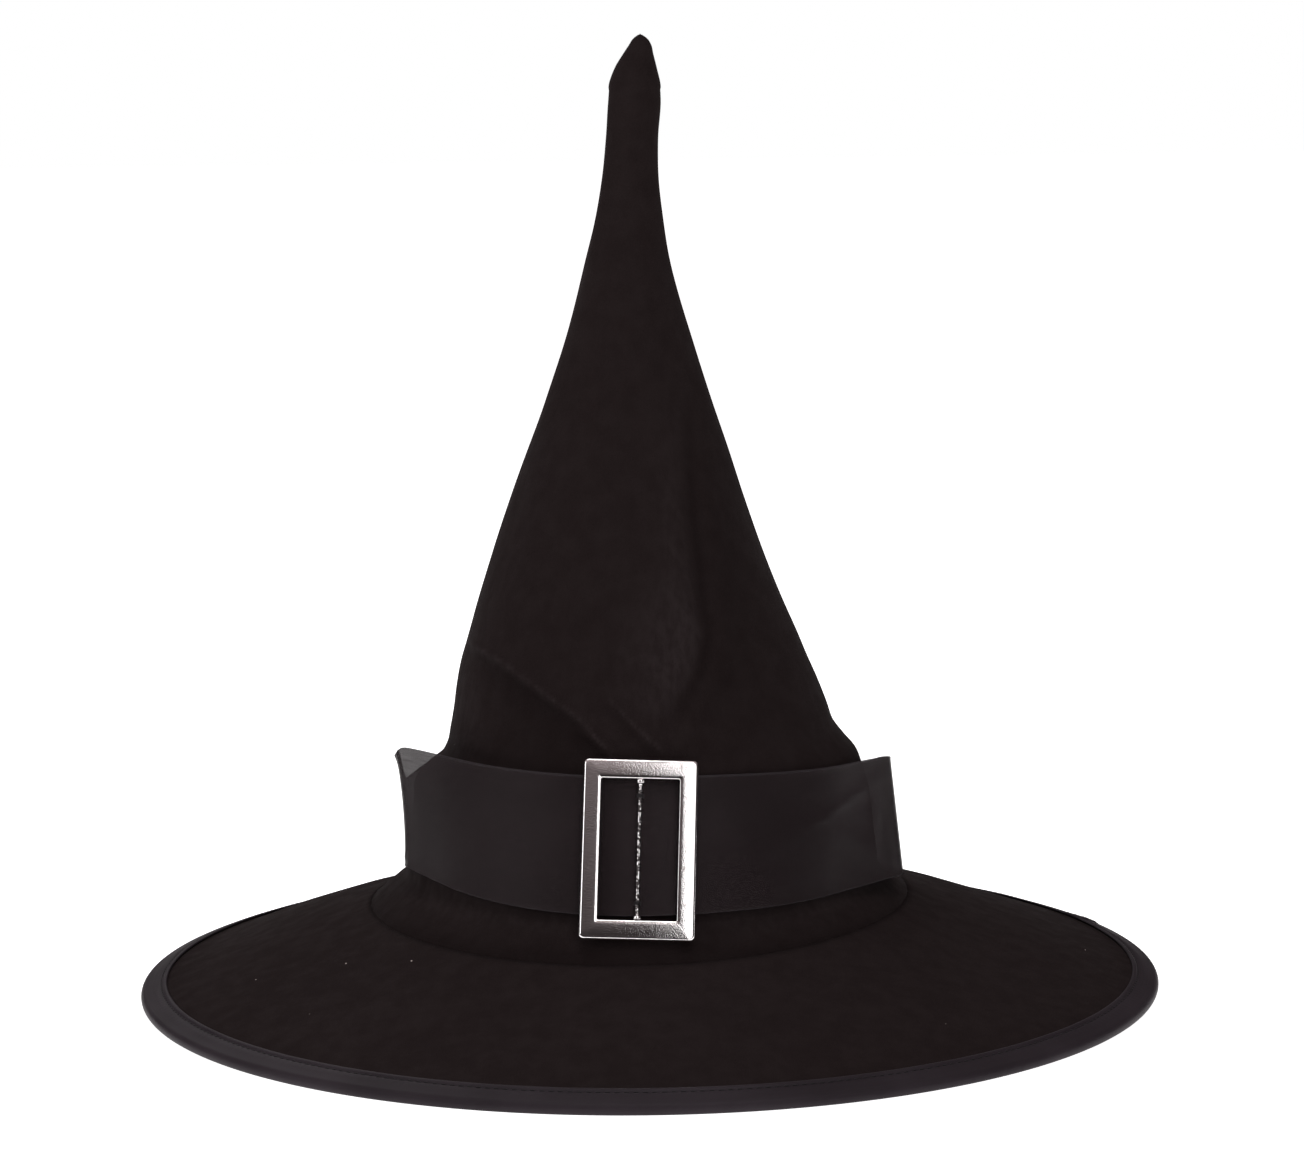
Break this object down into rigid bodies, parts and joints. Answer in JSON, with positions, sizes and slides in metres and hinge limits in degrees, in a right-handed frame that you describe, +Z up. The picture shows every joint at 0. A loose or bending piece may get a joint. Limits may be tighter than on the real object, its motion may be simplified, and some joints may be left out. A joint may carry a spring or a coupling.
{
  "type": "witch hat",
  "caption": "Pointed black velvet costume hat with a wide wired brim, a satin ribbon band and a plated rectangular buckle.",
  "frame": {"origin": "middle of the brim's edge on the surface that the hat stands on", "axes": "+Z up along the crown, -Y towards the buckle at the front, +X to the wearer's left"},
  "size_m": [0.38, 0.38, 0.352],
  "materials": {
    "velvet": "short cut pile, matt with a soft sheen at grazing angles",
    "interlining": "stiff felted non-woven",
    "lining": "plain woven polyester, low lustre",
    "wadding": "loose polyester fibre",
    "grosgrain": "ribbed tape",
    "wire": "bright drawn spring steel",
    "crimp": "crimped plated sleeve",
    "binding": "folded satin bias tape, soft lustre",
    "ribbon": "single-faced satin ribbon, thin enough to let light through",
    "thread": "black sewing thread",
    "plated": "vacuum-plated mirror silver on moulded plastic"
  },
  "bodies": {
    "hat": {"crown_cone": "velvet", "crown_interlining": "interlining", "crown_lining": "lining", "tip_wadding": "wadding", "sweatband": "grosgrain", "brim_top": "velvet", "brim_interlining": "interlining", "brim_underside": "lining", "brim_wire": "wire", "wire_sleeve": "crimp", "edge_binding": "binding", "ribbon_band": "ribbon", "ribbon_stitches": "thread", "buckle_lashing_top": "thread", "buckle_lashing_bottom": "thread"},
    "buckle": {"buckle_frame": "plated", "buckle_bar": "plated"}
  },
  "joints": [
    {"name": "buckle_rock", "type": "hinge", "parent": "hat", "child": "buckle", "pos_m": [-0.003, -0.09249, 0.06817], "axis": [0.0384, 0.3743, 0.9265], "range_deg": [-6, 6]}
  ]
}
